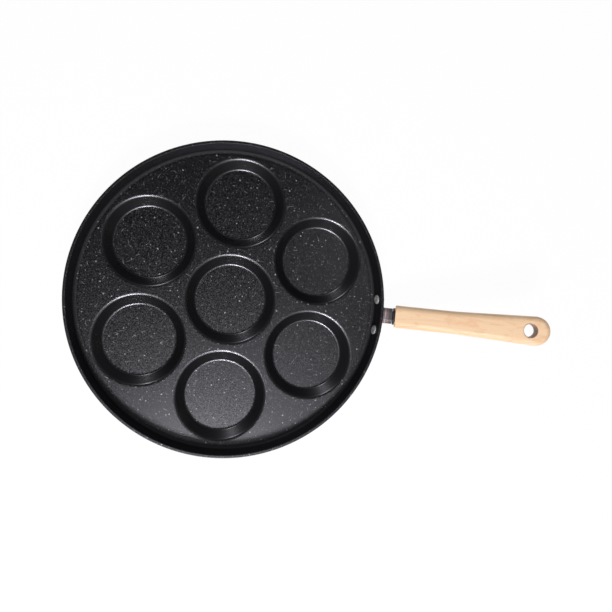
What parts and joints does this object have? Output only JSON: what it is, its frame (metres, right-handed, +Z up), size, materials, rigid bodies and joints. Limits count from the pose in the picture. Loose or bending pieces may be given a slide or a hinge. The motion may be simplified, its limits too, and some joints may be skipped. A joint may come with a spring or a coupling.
{
  "type": "multi-section egg pan",
  "caption": "Round shallow pan with sunken round cups, a leaning rim and a wooden handle on a riveted steel bracket.",
  "frame": {"origin": "the pan's axis, on the plane that the undersides of the cups rest on", "axes": "+X from the pan's axis along the handle, +Y across the handle, +Z up out of the cups"},
  "size_m": [0.398, 0.26, 0.0643],
  "materials": {
    "speckled_coating": "satin black non-stick coating with fine pale speckles, on aluminium",
    "bracket_steel": "polished pressed steel",
    "rivet_metal": "satin domed rivet",
    "washer_black": "matt black heat-resistant plastic",
    "beech_wood": "pale beech, fine grain, smooth oiled",
    "screw_steel": "zinc-plated steel"
  },
  "bodies": {
    "root": {"pan_body": "speckled_coating", "handle_bracket": "bracket_steel", "rivet_left": "rivet_metal", "rivet_right": "rivet_metal", "heat_washer": "washer_black", "handle_grip": "beech_wood", "tang_screw_front": "screw_steel", "tang_screw_rear": "screw_steel"}
  },
  "joints": []
}
